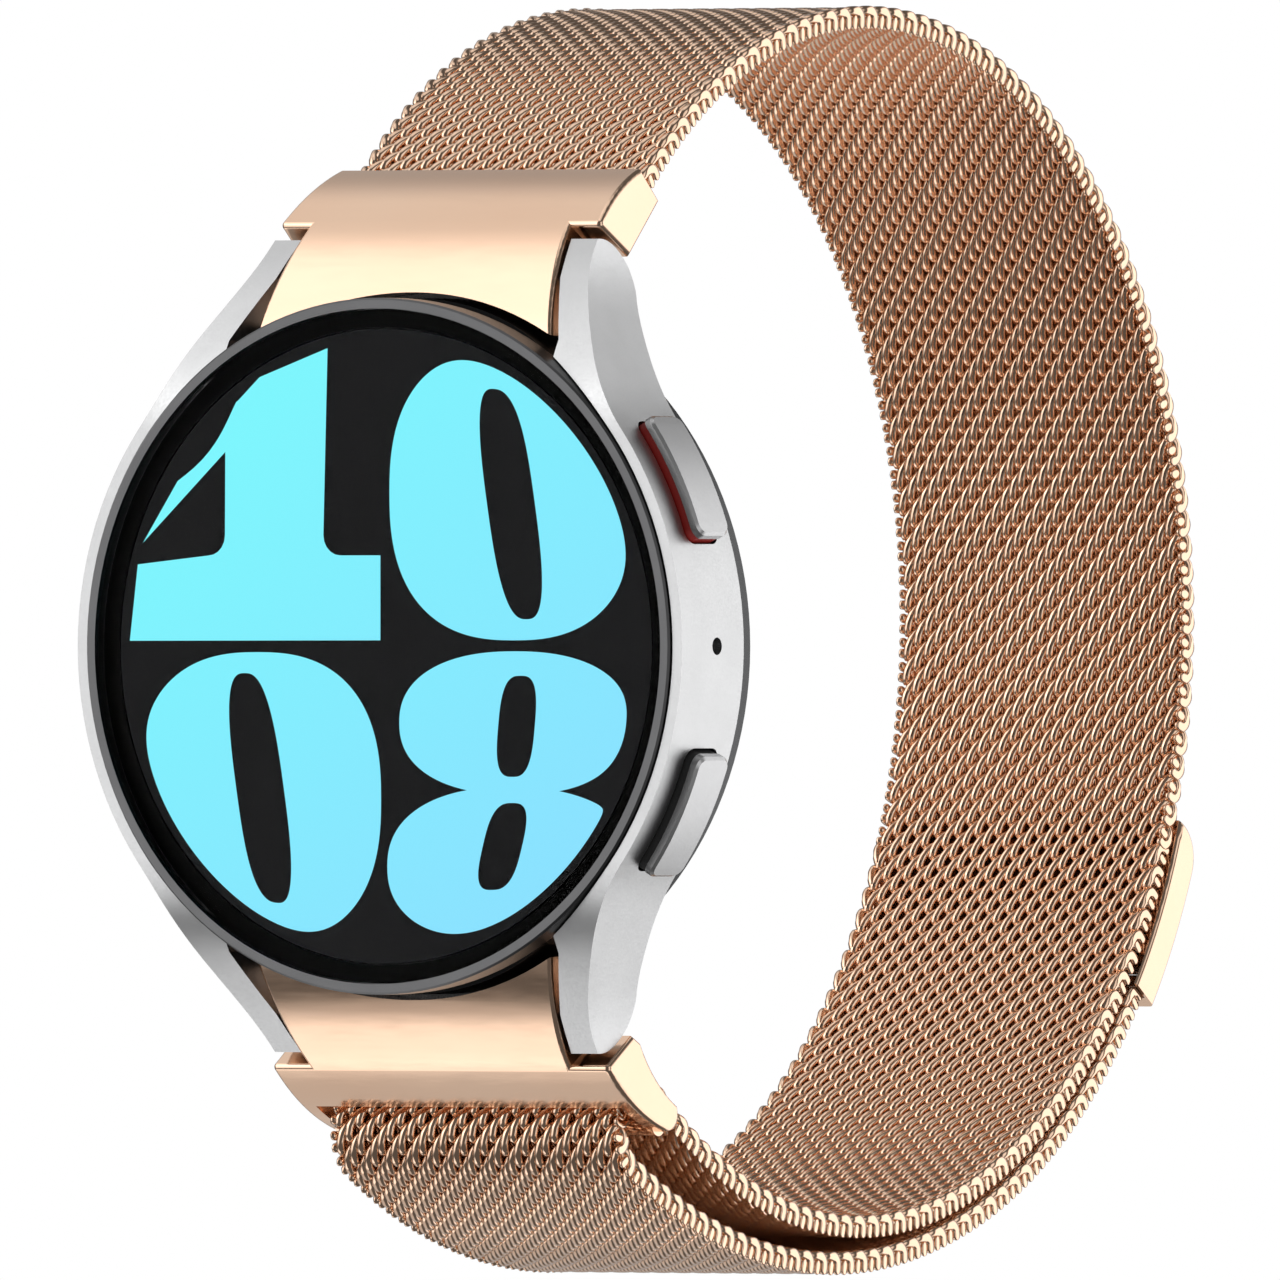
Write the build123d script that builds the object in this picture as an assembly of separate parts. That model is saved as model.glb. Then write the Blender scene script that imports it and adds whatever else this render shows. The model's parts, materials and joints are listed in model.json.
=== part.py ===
from build123d import *
import os
from math import atan2, cos, degrees, hypot, radians, sin, sqrt

# A round smartwatch on a woven wire band that a magnetic clasp closes. Millimetres.
# X runs across the band with the buttons on +X, Y runs from the dial to the wrist and +Z is 12 o'clock.
# The origin is the middle of the wrist opening, level with the middle of the dial.
# The dial's front plane is at DIAL_Y, and depth() turns a depth behind it into a Y.

# --- driving dimensions: watch head ---
DIAL_Y = -37.0            # Y of the bezel ring's front
CASE_R = 21.45            # case outside radius
CASE_FRONT = 0.25         # depth of the case's front face
CASE_BACK = 7.0           # depth of the case's back edge
CAVITY_R = 19.3           # case inside radius
RECESS_R = 20.78          # front recess for the bezel ring
RECESS_BACK = 1.7
WALL_R_AT_LINK = 20.7     # case outside radius between the lugs, flush with the bezel ring
BEZEL_R = 20.7
BEZEL_BACK = 1.65
BEZEL_LEDGE_R = 18.95
GLASS_R = 20.02
GLASS_FRONT = 0.06
GLASS_BACK = 1.0
PANEL_R = 18.85
PANEL_BACK = 1.72
LUG_TIP_Z = 24.4
LUG_ROOM_HALF = 11.7      # half the space between the lugs, at the case wall
BACK_R = 21.2
BACK_FLAT = 8.75          # depth of the back cover's rim face
BACK_SEAT_R = 19.2        # where the back cover steps into the case
GASKET_SEAT = (20.45, 19.85)  # outside and inside radius of the back gasket's groove
GASKET_DEEP = 0.3
DOME_R = 13.2
DOME_BACK = 9.8           # depth of the sensor window's flat
SEAM = 0.05               # gap between fitted parts
SCREW_ANGLES = (45, 135, 225, 315)
SCREW_RING = 17.6
SCREW_R = 0.5
SCREW_HEAD_R = 0.9
SCREW_HEAD = (8.25, 8.65)     # depths of the screw heads
SCREW_TIP = 4.1
BOSS_R = 1.9
BOSS = (3.2, 6.4)         # depths of the screw bosses

# --- driving dimensions: side buttons ---
BUTTON_ANGLE = 27.4       # from 3 o'clock
BUTTON_LENGTH = 8.0
BUTTON_WIDTH = 3.4
BUTTON_DEPTH = 3.95       # depth of the button's middle
BUTTON_CORNER = 0.75
BUTTON_TOP_R = 22.45
BUTTON_UNDER_R = 21.9
GASKET_IN_R = 20.8
POCKET_R = 20.2
POCKET_GAP = 0.1
STEM_R = 0.6
STEM_HOLE_R = 0.66
SWITCH_R = 18.3           # where the stem ends
MIC_R = 0.52
MIC_DEPTH = 4.08

# --- driving dimensions: inside the watch head ---
TRAY_BACK = 2.25          # the display frame's back
BOARD_R = 18.6
BOARD = (2.35, 2.9)       # front and back depths, here and below
SHIELDS = (2.95, 4.1)
SHIELD_CANS = ((0, 16.0, 12, 3.2), (12.9, 0, 3.6, 9.0), (-12.7, 7.6, 3.4, 4.2))   # X, Z, width, height
CELL = (3.0, 6.25)
CELL_SIZE = (20.4, 26.6)
MOTOR = (3.0, 5.6)
MOTOR_R = 2.2
MOTOR_Z = -16.4
SPEAKER = (3.0, 6.0)
SPEAKER_AT = (-14.2, -1.4)
SPEAKER_SIZE = (5.6, 9.6)
MIC = (3.0, 5.0)
MIC_X = 17.3
COIL = (6.35, 6.75)
COIL_R = (13.4, 8.4)
SENSOR_BOARD = (6.95, 7.5)
SENSOR_BOARD_R = 11.2
OPTICS_BACK = 7.95
OPTICS_R = 1.1
OPTICS_RING = 4.5

# --- driving dimensions: band ---
BAND_HALF = 10.2
BAND_T = 1.4
BACK_CENTRE = (0.8, 1.6)  # Y, Z of the round back of the loop
BACK_MID_R = 36.4
CROWN_ANGLE = 46.0        # where the flatter top run starts
CROWN_STEP = 1.2          # how much smaller the top run's radius is
PIN_ANGLE = 137.4
HINGE_ANGLES = (91.0, 46.0, 0.0)
FOLD_ANGLE = -128.4       # where the band turns back over the crossbar
FOLD_R = 2.5
TAIL_MID_R = 46.0
CLASP_MID_R = 38.05       # the tail's radius beside the inner layer
TAIL_END_ANGLE = -33.2
KNUCKLE_R = 0.7
KNUCKLE_GAP = 0.09

# --- driving dimensions: end links and their spring bars ---
BAR_DEPTH = 6.8           # the spring bar's axis
BAR_Z = 22.0
BAR_ROOM = 0.03           # play of the barrel in the link's bore
TONGUE_HOLLOW = (22.4, -1.35)     # radius and Z of the tongue's hollow end, beside the case wall
TONGUE_BACK = (21.3, 6.7)     # its radius behind the case wall, and from what depth
TONGUE_HALF = (10.6, 9.0)     # the tongue's half width at its two ends
TONGUE_Z = (18.0, 26.3)
LINK_FRONT = (3.5, 20.3)  # depth and Z of three points that the outer face's arc passes
LINK_STEP = (6.8, 25.05)  # where the link widens over the lug tips
LINK_UNDER = (9.6, 23.15) # the inner end of that step
TOP_LIP = (12.4, 28.4)    # the outer face's last point on the top link
TOP_LIP_BACK = (13.9, 26.45)
BOTTOM_LIP = (13.3, 28.85)
BARREL_R = 0.8
BARREL_BORE = 0.6
BARREL_HALF = 8.9
COLLAR_R = 0.55
TIP_R = 0.4
TIP_HOLE_R = 0.45
TIP_REACH = 10.95
RELEASE_TRAVEL = 1.2
KNOB_R = 0.45
KNOB_X = 7.4              # where the release knob stands
KNOB_REACH = 3.1
KNOB_SLOT_W = 1.1
TOP_HALF = (12.0, 10.4)   # half width over the lug tips, at the two heights of LINK_Z
BOTTOM_HALF = (12.0, 11.9)
LINK_Z = (22.0, 30.0)
CROSSBAR = (-23.6, -28.4)
CROSSBAR_R = 0.75
BAND_PIN_R = 0.34
BAND_PIN_BORE = 0.39
BAND_PIN_HALF = 10.75
SLOT_HALF = 10.85
SLOT_AT = (10.15, 27.2)   # depth and Z of the adjuster slot's floor
SLOT_LEAN = 29.0
POCKET_HALF = 10.35
LINK_BEVEL = 0.28
TONGUE_BEVEL = 0.25

# --- driving dimensions: clasp ---
CLASP_IN_R = 37.3
CLASP_OUT_R = 39.7
CLASP_NOSE = (-19.0, -20.0, -22.8)    # where the nose starts inside, is roundest and ends outside
CLASP_NOSE_R = 38.85
CLASP_END = -36.1
CLASP_HALF = 10.45
CLASP_EDGE = 0.3
MAGNET_BAY = (-21.4, -31.6)
MAGNET_OUT_R = 39.1
MAGNET_ANGLES = (-21.6, -24.1, -26.6, -29.1)
MAGNET_SPAN = 2.3
PLATE_OUT_R = 37.8
TAIL_PIN_ANGLE = -34.0
TAIL_PIN_R = 0.3

UP, DOWN = 1, -1


def depth(d):
    return DIAL_Y + d


def polar(centre, radius, angle):
    a = radians(angle)
    return (centre[0] + radius * cos(a), centre[1] + radius * sin(a))


def disc(radius, front, back):
    """A disc about the dial's axis between two depths."""
    plane = Plane(origin=(0, depth(back), 0), x_dir=(1, 0, 0), z_dir=(0, -1, 0))
    return extrude(plane * Circle(radius), back - front)


def ring(outer, inner, front, back):
    return disc(outer, front, back) - disc(inner, front - 1, back + 1)


def slab(face, front, back):
    """A face drawn in X and Z, between two depths."""
    plane = Plane(origin=(0, depth(back), 0), x_dir=(1, 0, 0), z_dir=(0, -1, 0))
    return extrude(plane * face, back - front)


def across(face, half, start=None):
    """A face drawn in Y and Z, across X: from -half to half, or from start to half."""
    low = -half if start is None else start
    return Pos(low, 0, 0) * extrude(Plane.YZ * face, half - low)


def rod(y, z, radius, low, high):
    """A round rod along X."""
    return across(Pos(y, z) * Circle(radius), high, low)


def facing(angle, radius, depth_mid):
    """A plane that faces outwards from the dial's axis, its X along the rim and its Y along +Y."""
    a = radians(angle)
    origin = (radius * cos(a), depth(depth_mid), radius * sin(a))
    return Plane(origin=origin, x_dir=(sin(a), 0, -cos(a)), z_dir=(cos(a), 0, sin(a)))


def around(radius):
    """A long cylinder about the dial's axis."""
    return disc(radius, -20, 30)


def save(shape, node):
    """Write a sub-part's solids to one file."""
    solids = shape.solids()
    export_step(Compound(children=list(solids)) if len(solids) > 1 else solids[0], f"parts/{node}.step")


# --- the band's middle line: four arcs in Y and Z ---
CROWN_R = BACK_MID_R - CROWN_STEP
CROWN_CENTRE = polar(BACK_CENTRE, CROWN_STEP, CROWN_ANGLE)
FOLD_CENTRE = polar(BACK_CENTRE, BACK_MID_R + FOLD_R, FOLD_ANGLE)


def tail_centre():
    """The centre of the tail's long arc, which is tangent to the fold and to the clasp's arc."""
    to_fold, to_clasp = TAIL_MID_R - FOLD_R, TAIL_MID_R - CLASP_MID_R
    dy, dz = BACK_CENTRE[0] - FOLD_CENTRE[0], BACK_CENTRE[1] - FOLD_CENTRE[1]
    apart = hypot(dy, dz)
    along = (apart**2 + to_fold**2 - to_clasp**2) / (2 * apart)
    off = sqrt(to_fold**2 - along**2)
    y = FOLD_CENTRE[0] + (along * dy - off * dz) / apart
    z = FOLD_CENTRE[1] + (along * dz + off * dy) / apart
    return (y, z)


TAIL_CENTRE = tail_centre()
TAIL_START = degrees(atan2(FOLD_CENTRE[1] - TAIL_CENTRE[1], FOLD_CENTRE[0] - TAIL_CENTRE[0]))
TAIL_JOIN = degrees(atan2(BACK_CENTRE[1] - TAIL_CENTRE[1], BACK_CENTRE[0] - TAIL_CENTRE[0]))

PIN = polar(CROWN_CENTRE, CROWN_R, PIN_ANGLE)
HINGE_1 = polar(CROWN_CENTRE, CROWN_R, HINGE_ANGLES[0])
HINGE_2 = polar(BACK_CENTRE, BACK_MID_R, HINGE_ANGLES[1])
HINGE_3 = polar(BACK_CENTRE, BACK_MID_R, HINGE_ANGLES[2])
TAIL_HINGE = polar(TAIL_CENTRE, TAIL_MID_R, TAIL_START)


def curved_strip(centre, radius, start, end, half=BAND_HALF, thick=BAND_T):
    """A length of band: a part of a ring between two angles."""
    inner, outer = radius - thick / 2, radius + thick / 2
    a, b = min(start, end), max(start, end)
    edges = [
        CenterArc(centre, outer, a, b - a),
        Line(polar(centre, outer, b), polar(centre, inner, b)),
        CenterArc(centre, inner, a, b - a),
        Line(polar(centre, inner, a), polar(centre, outer, a)),
    ]
    return across(make_face(Wire(edges)), half)


def knuckle(point):
    return rod(point[0], point[1], KNUCKLE_R, -BAND_HALF, BAND_HALF)


def knuckle_room(point):
    return rod(point[0], point[1], KNUCKLE_R + KNUCKLE_GAP, -BAND_HALF - 1, BAND_HALF + 1)


# --- watch head ---
def lug_face():
    """The upper right lug as the dial's side shows it. It leans in towards its tip."""
    root, tip_out, tip_in = (17.1, 12.95), (11.45, LUG_TIP_Z), (9.55, LUG_TIP_Z)
    outer = Spline([root, (14.0, 18.2), (12.1, 21.9), tip_out], tangents=[(-0.6, 0.8), (-0.1, 1.0)])
    inner = Polyline(tip_out, tip_in, (10.1, 21.9), (LUG_ROOM_HALF, 18.2), (LUG_ROOM_HALF, 12.0), root)
    return make_face(Wire([outer] + inner.edges()))


def four_ways(shape):
    """A shape in the upper right, and its mirror images in the other three corners."""
    right = shape + mirror(shape, Plane.XY)
    return right + mirror(right, Plane.YZ)


def side_profile():
    """The case as its side shows it: flat in the middle, with the lugs curving back to the wrist."""
    edges = [
        Spline((depth(CASE_FRONT), 12.8), (depth(2.65), 19.4), (depth(6.5), 24.2),
               tangents=[(0, 1), (0.68, 0.73)]),
        ThreePointArc((depth(6.5), 24.2), (depth(8.2), 23.75), (depth(9.2), 22.6)),
        ThreePointArc((depth(9.2), 22.6), (depth(9.25), 21.7), (depth(8.75), 20.5)),
        ThreePointArc((depth(8.75), 20.5), (depth(7.6), 17.9), (depth(CASE_BACK), 14.8)),
        Polyline((depth(CASE_BACK), 14.8), (depth(CASE_BACK), 0), (depth(CASE_FRONT), 0),
                 (depth(CASE_FRONT), 12.8)),
    ]
    half = across(make_face(Wire([e for edge in edges for e in edge.edges()])), 30)
    return half + mirror(half, Plane.XY)


def button_block(low_r, high_r, side, grow=0.0):
    """A rounded block that stands through the rim at a button, between two radii."""
    plane = facing(side * BUTTON_ANGLE, 12.0, BUTTON_DEPTH)
    size = (BUTTON_LENGTH + 2 * grow, BUTTON_WIDTH + 2 * grow)
    block = extrude(plane * RectangleRounded(*size, BUTTON_CORNER + grow), 14.0)
    return (block & around(high_r)) - around(low_r)


def stem(side, radius, low_r, high_r):
    return extrude(facing(side * BUTTON_ANGLE, low_r, BUTTON_DEPTH) * Circle(radius), high_r - low_r)


def screw_place(angle, radius, front, back):
    x, z = polar((0, 0), SCREW_RING, angle)
    return slab(Pos(x, z) * Circle(radius), front, back)


def case_frame():
    room = Box(2 * LUG_ROOM_HALF, 60, 20)
    body = disc(CASE_R, CASE_FRONT, CASE_BACK) - Pos(0, DIAL_Y, 25) * room - Pos(0, DIAL_Y, -25) * room
    body = body + disc(WALL_R_AT_LINK, CASE_FRONT, CASE_BACK) + four_ways(slab(lug_face(), CASE_FRONT, 11))
    body = body & side_profile()
    body = body - disc(RECESS_R, -1, RECESS_BACK) - disc(CAVITY_R, -1, CASE_BACK + 1)
    body = body - disc(BACK_R + 0.12, CASE_BACK, 12)
    body = body - ring(*GASKET_SEAT, CASE_BACK - GASKET_DEEP, CASE_BACK + 1)
    for angle in SCREW_ANGLES:
        boss = screw_place(angle, BOSS_R, *BOSS) & around(CAVITY_R + 0.5)
        body = body + boss - screw_place(angle, SCREW_R + 0.02, SCREW_TIP - 0.2, CASE_BACK + 0.5)
    for side in (UP, DOWN):
        body = body - button_block(POCKET_R, CASE_R + 2, side, POCKET_GAP)
        body = body - stem(side, STEM_HOLE_R, CAVITY_R - 1.5, POCKET_R + 1)
        bar = rod(depth(BAR_DEPTH), side * BAR_Z, TIP_HOLE_R, -TIP_REACH - 0.2, TIP_REACH + 0.2)
        body = body - bar
    return body - extrude(facing(0, CAVITY_R - 1, MIC_DEPTH) * Circle(MIC_R), 5)



def bezel_ring():
    body = ring(BEZEL_R, GLASS_R + SEAM, 0, BEZEL_BACK)
    body = body + ring(BEZEL_R, BEZEL_LEDGE_R, GLASS_BACK + SEAM, BEZEL_BACK)
    rims = body.edges().filter_by(GeomType.CIRCLE).filter_by(lambda e: abs(e.center().Y - DIAL_Y) < 0.01)
    return chamfer(rims.sort_by(SortBy.RADIUS)[-1], 0.12)


def cover_glass():
    glass = disc(GLASS_R, GLASS_FRONT, GLASS_BACK)
    return fillet(glass.edges().sort_by(Axis.Y)[0], 0.25)


def display_panel():
    return disc(PANEL_R, GLASS_BACK + SEAM, PANEL_BACK)


def display_frame():
    plate = disc(CAVITY_R - 0.1, PANEL_BACK + SEAM, TRAY_BACK)
    for x in (-9, 9):
        plate = plate - slab(Pos(x, 0) * SlotOverall(16, 5, rotation=90), 1, 3)
    return plate


def main_board():
    cable_notch = slab(Pos(-BOARD_R, 0) * Rectangle(5.2, 8), 2, 3.5)
    return disc(BOARD_R, *BOARD) - cable_notch - slab(Pos(0, -BOARD_R) * Circle(2), 2, 3.5)


def board_shields():
    return [slab(Pos(x, z) * RectangleRounded(w, h, 0.5), *SHIELDS) for x, z, w, h in SHIELD_CANS]


def battery():
    cell = slab(RectangleRounded(*CELL_SIZE, 2.0), *CELL)
    return fillet(cell.edges().filter_by(lambda e: e.length > 12), 0.4)


def vibration_motor():
    return slab(Pos(0, MOTOR_Z) * Circle(MOTOR_R), *MOTOR)


def speaker():
    width, height = SPEAKER_SIZE
    box = slab(Pos(*SPEAKER_AT) * RectangleRounded(width, height, 0.8), *SPEAKER)
    mouth = slab(Pos(*SPEAKER_AT) * RectangleRounded(width - 2.0, height - 2.4, 0.6), SPEAKER[1] - 0.4, 7)
    return box - mouth


def microphone():
    can = slab(Pos(MIC_X, 0) * Rectangle(1.9, 3.0), *MIC)
    boot = extrude(facing(0, MIC_X, MIC_DEPTH) * Circle(MIC_R - 0.03), 3.5)
    return can + boot - extrude(facing(0, MIC_X + 0.3, MIC_DEPTH) * Circle(0.2), 3)


def button_switch(side):
    base = Pos(0, 0, -1.0) * Box(4.0, 1.7, 1.2)
    dome = extrude(Plane.XY.offset(-0.4) * Circle(0.7), 0.3)
    return facing(side * BUTTON_ANGLE, SWITCH_R - 0.3, BUTTON_DEPTH).location * (base + dome)


def button_cap(side):
    cap = button_block(BUTTON_UNDER_R, BUTTON_TOP_R, side)
    top = cap.faces().sort_by(lambda f: -hypot(f.center().X, f.center().Z))[0]
    cap = chamfer(top.edges(), 0.16)
    return cap + stem(side, STEM_R, SWITCH_R + 0.05, BUTTON_UNDER_R + 0.2)


def button_gasket(side):
    return button_block(GASKET_IN_R, BUTTON_UNDER_R, side, -0.08) - stem(side, STEM_R, 18, 23)


def charging_coil():
    return ring(*COIL_R, *COIL)


def turned(points):
    """A solid of revolution about the dial's axis, from points of radius and depth."""
    face = make_face(Polyline([(r, depth(d)) for r, d in points], close=True))
    return revolve(face, Axis.Y, 360)


def back_cover():
    ledge = [(12.0, 7.65), (12.0, 8.0), (DOME_R + SEAM, 8.0), (DOME_R + SEAM, BACK_FLAT)]
    rim = [(19.0, BACK_FLAT), (20.6, 8.5), (BACK_R, 8.1), (BACK_R, CASE_BACK + SEAM)]
    step = [(BACK_SEAT_R, CASE_BACK + SEAM), (BACK_SEAT_R, 6.55), (18.6, 6.55), (18.6, 7.65)]
    body = turned(ledge + rim + step)
    for angle in SCREW_ANGLES:
        body = body - screw_place(angle, SCREW_R + 0.05, 6, 10)
        body = body - screw_place(angle, SCREW_HEAD_R + 0.1, SCREW_HEAD[0] - 0.05, 10)
    return body


def back_gasket():
    return ring(GASKET_SEAT[0] - 0.05, GASKET_SEAT[1] + 0.05, CASE_BACK - 0.28, CASE_BACK + 0.04)


def back_screws():
    screws = []
    for angle in SCREW_ANGLES:
        head = screw_place(angle, SCREW_HEAD_R, *SCREW_HEAD) - screw_place(angle, 0.35, 8.45, 9)
        screws.append(head + screw_place(angle, SCREW_R, SCREW_TIP, SCREW_HEAD[0]))
    return screws


def sensor_window():
    dome = turned([(0, 8.05), (DOME_R, 8.05), (DOME_R, BACK_FLAT), (9.5, 9.45), (7.0, DOME_BACK),
                   (0, DOME_BACK)])
    return fillet(dome.edges().filter_by(GeomType.CIRCLE).sort_by(Axis.Y)[-2:], 1.0)


def sensor_board():
    return disc(SENSOR_BOARD_R, *SENSOR_BOARD)


def sensor_optics():
    places = [polar((0, 0), OPTICS_RING, a) for a in (0, 90, 180, 270)]
    return [slab(Pos(x, z) * Circle(OPTICS_R), SENSOR_BOARD[1], OPTICS_BACK) for x, z in places]


# --- end links ---
def flip(shape, side):
    return shape if side == UP else mirror(shape, Plane.XY)


def circle_through(a, b, c):
    """The centre of the circle through three points."""
    ab, bc = (a[0] - b[0], a[1] - b[1]), (b[0] - c[0], b[1] - c[1])
    first = (a[0]**2 + a[1]**2 - b[0]**2 - b[1]**2) / 2
    second = (b[0]**2 + b[1]**2 - c[0]**2 - c[1]**2) / 2
    det = ab[0] * bc[1] - ab[1] * bc[0]
    return ((first * bc[1] - second * ab[1]) / det, (ab[0] * second - bc[0] * first) / det)


def on_arc(centre, z):
    """The point at height Z on the links' outer arc about a centre."""
    radius = hypot(LINK_STEP[0] - centre[0], LINK_STEP[1] - centre[1])
    return (centre[0] - sqrt(radius**2 - (z - centre[1])**2), z)


def arc_about(centre, a, b):
    """The short arc about a centre from a to b, both given as depth and Z."""
    middle = ((a[0] + b[0]) / 2 - centre[0], (a[1] + b[1]) / 2 - centre[1])
    grow = hypot(a[0] - centre[0], a[1] - centre[1]) / hypot(*middle)
    top = (centre[0] + grow * middle[0], centre[1] + grow * middle[1])
    return ThreePointArc(*[(depth(d), z) for d, z in (a, top, b)]).edges()


def run(*points):
    """Straight edges through points given as depth and Z."""
    return Polyline(*[(depth(d), z) for d, z in points]).edges()


def tongue(front_centre):
    """The part of a link between the lugs, hollowed where it meets the case."""
    low_end, high_end = (on_arc(front_centre, z) for z in TONGUE_Z)
    front = arc_about(front_centre, low_end, high_end)
    rest = run(high_end, (9.6, 24.6), LINK_UNDER, (9.2, 21.6), (8.2, TONGUE_Z[0]), low_end)
    side = across(make_face(Wire(front + rest)), 12)
    (wide, narrow), (low, high) = TONGUE_HALF, TONGUE_Z
    outline = make_face(Polyline((wide, low), (narrow, high), (-narrow, high), (-wide, low), close=True))
    body = side & slab(outline, 2, 11)
    sides = [f for f in body.faces() if abs(f.normal_at().X) > 0.9]
    body = fillet([e for f in sides for e in f.edges() if e.geom_type != GeomType.LINE], TONGUE_BEVEL)
    radius, z = TONGUE_HOLLOW
    return body - Pos(0, 0, z) * around(radius) - disc(TONGUE_BACK[0], TONGUE_BACK[1], 30)


def link_end(side_edges, half):
    """The wider part over the lug tips, with rounded sides that draw in towards the band."""
    (wide, narrow), (low, high) = half, LINK_Z
    outline = make_face(Polyline((0, low), (wide, low), (narrow, high), (0, high), close=True))
    body = across(make_face(Wire(side_edges)), 13) & slab(outline, 2, 20)
    step_y, step_z = depth(LINK_STEP[0]), LINK_STEP[1]
    step = [e for e in body.edges() if hypot(e.center().Y - step_y, e.center().Z - step_z) < 0.1]
    side = body.faces().sort_by(Axis.X)[-1]
    body = fillet(list(side.edges()) + step, LINK_BEVEL)
    return body + mirror(body, Plane.YZ)


def knob_slot(y, z, high):
    """The room that the release knob slides in."""
    place = Pos(KNOB_X - RELEASE_TRAVEL / 2, y + high / 2, z)
    return place * Box(RELEASE_TRAVEL + KNOB_SLOT_W + 0.1, high, KNOB_SLOT_W)


def bar_bore(side):
    """The bore for the spring bar and its knob."""
    y, z = depth(BAR_DEPTH), side * BAR_Z
    return rod(y, z, BARREL_R + BAR_ROOM, -12, 12) + knob_slot(y, z, 4)


def top_end_link():
    centre = circle_through(LINK_FRONT, LINK_STEP, TOP_LIP)
    edges = arc_about(centre, LINK_STEP, TOP_LIP) + run(TOP_LIP, TOP_LIP_BACK, LINK_UNDER, LINK_STEP)
    body = link_end(edges, TOP_HALF) + tongue(centre)
    room = rod(PIN[0], PIN[1], KNUCKLE_R + 0.12, -POCKET_HALF, POCKET_HALF)
    channel = curved_strip(CROWN_CENTRE, CROWN_R, PIN_ANGLE, PIN_ANGLE - 8, POCKET_HALF, BAND_T + 0.3)
    below = Pos(0, PIN[0] + 1.1, PIN[1] - 1.0) * Rot(-45, 0, 0) * Box(2 * POCKET_HALF, 2.2, 1.8)
    pin_hole = rod(PIN[0], PIN[1], BAND_PIN_R + 0.01, -BAND_PIN_HALF, BAND_PIN_HALF)
    return body - room - channel - below - pin_hole - bar_bore(UP)


def bottom_end_link():
    """The link with the adjuster slot, drawn upwards and then mirrored to the bottom."""
    centre = circle_through(LINK_FRONT, LINK_STEP, BOTTOM_LIP)
    nose_end, back_end = (14.6, 27.35), (10.5, 23.6)
    nose = ThreePointArc(*[(depth(d), z) for d, z in (BOTTOM_LIP, (14.55, 28.4), nose_end)]).edges()
    back = ThreePointArc(*[(depth(d), z) for d, z in (nose_end, (12.3, 25.75), back_end)]).edges()
    edges = arc_about(centre, LINK_STEP, BOTTOM_LIP) + nose + back + run(back_end, LINK_UNDER, LINK_STEP)
    body = link_end(edges, BOTTOM_HALF) + tongue(centre)
    floor = Pos(0, depth(SLOT_AT[0]), SLOT_AT[1]) * Rot(SLOT_LEAN, 0, 0)
    body = body - floor * Pos(0, 5, 0) * Box(2 * SLOT_HALF, 10, 12)
    body = body + rod(CROSSBAR[0], -CROSSBAR[1], CROSSBAR_R, -SLOT_HALF - 0.45, SLOT_HALF + 0.45)
    return flip(body - bar_bore(UP), DOWN)


def bar_barrel(side):
    y, z = depth(BAR_DEPTH), side * BAR_Z
    tube = rod(y, z, BARREL_R, -BARREL_HALF, BARREL_HALF) - rod(y, z, BARREL_BORE, -7.9, BARREL_HALF + 1)
    end_hole = rod(y, z, TIP_R, -BARREL_HALF - 1, -7)
    return tube - end_hole - knob_slot(y, z, 2)


def bar_fixed_pin(side):
    return rod(depth(BAR_DEPTH), side * BAR_Z, TIP_R, -TIP_REACH, -7.9)


def bar_release_pin(side):
    y, z = depth(BAR_DEPTH), side * BAR_Z
    collar = rod(y, z, COLLAR_R, 6.3, BARREL_HALF - 0.5)
    upright = (Align.CENTER, Align.CENTER, Align.MIN)
    knob = Pos(KNOB_X, y, z) * Rot(-90, 0, 0) * Cylinder(KNOB_R, KNOB_REACH, align=upright)
    return rod(y, z, TIP_R, 6.3, TIP_REACH) + collar + knob


def bar_spring(side):
    """The release pin's spring, as the sleeve that its coils fill."""
    y, z = depth(BAR_DEPTH), side * BAR_Z
    return rod(y, z, 0.5, 0.5, 6.3) - rod(y, z, 0.3, 0, 7)


# --- band ---
def band_top():
    body = curved_strip(CROWN_CENTRE, CROWN_R, PIN_ANGLE, HINGE_ANGLES[0])
    body = body + knuckle(PIN) + knuckle(HINGE_1)
    return body - rod(PIN[0], PIN[1], BAND_PIN_BORE, -12, 12)


def band_top_pin():
    return rod(PIN[0], PIN[1], BAND_PIN_R, -BAND_PIN_HALF, BAND_PIN_HALF)


def band_crown():
    body = curved_strip(CROWN_CENTRE, CROWN_R, HINGE_ANGLES[0], HINGE_ANGLES[1]) - knuckle_room(HINGE_1)
    return body + knuckle(HINGE_2)


def band_back():
    body = curved_strip(BACK_CENTRE, BACK_MID_R, HINGE_ANGLES[1], HINGE_ANGLES[2]) - knuckle_room(HINGE_2)
    return body + knuckle(HINGE_3)


def band_lower():
    return curved_strip(BACK_CENTRE, BACK_MID_R, HINGE_ANGLES[2], FOLD_ANGLE) - knuckle_room(HINGE_3)


def band_fold():
    return curved_strip(FOLD_CENTRE, FOLD_R, FOLD_ANGLE + 180, TAIL_START + 360) + knuckle(TAIL_HINGE)


def band_tail():
    body = curved_strip(TAIL_CENTRE, TAIL_MID_R, TAIL_START, TAIL_JOIN) - knuckle_room(TAIL_HINGE)
    body = body + curved_strip(BACK_CENTRE, CLASP_MID_R, TAIL_JOIN, TAIL_END_ANGLE)
    return body - tail_pin_rod(0.02)


def tail_pin_rod(grow=0.0):
    y, z = polar(BACK_CENTRE, CLASP_MID_R, TAIL_PIN_ANGLE)
    return rod(y, z, TAIL_PIN_R + grow, -10.35, 10.35)


def wedge(inner, outer, start, end, half):
    return curved_strip(BACK_CENTRE, (inner + outer) / 2, start, end, half, outer - inner)


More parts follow.
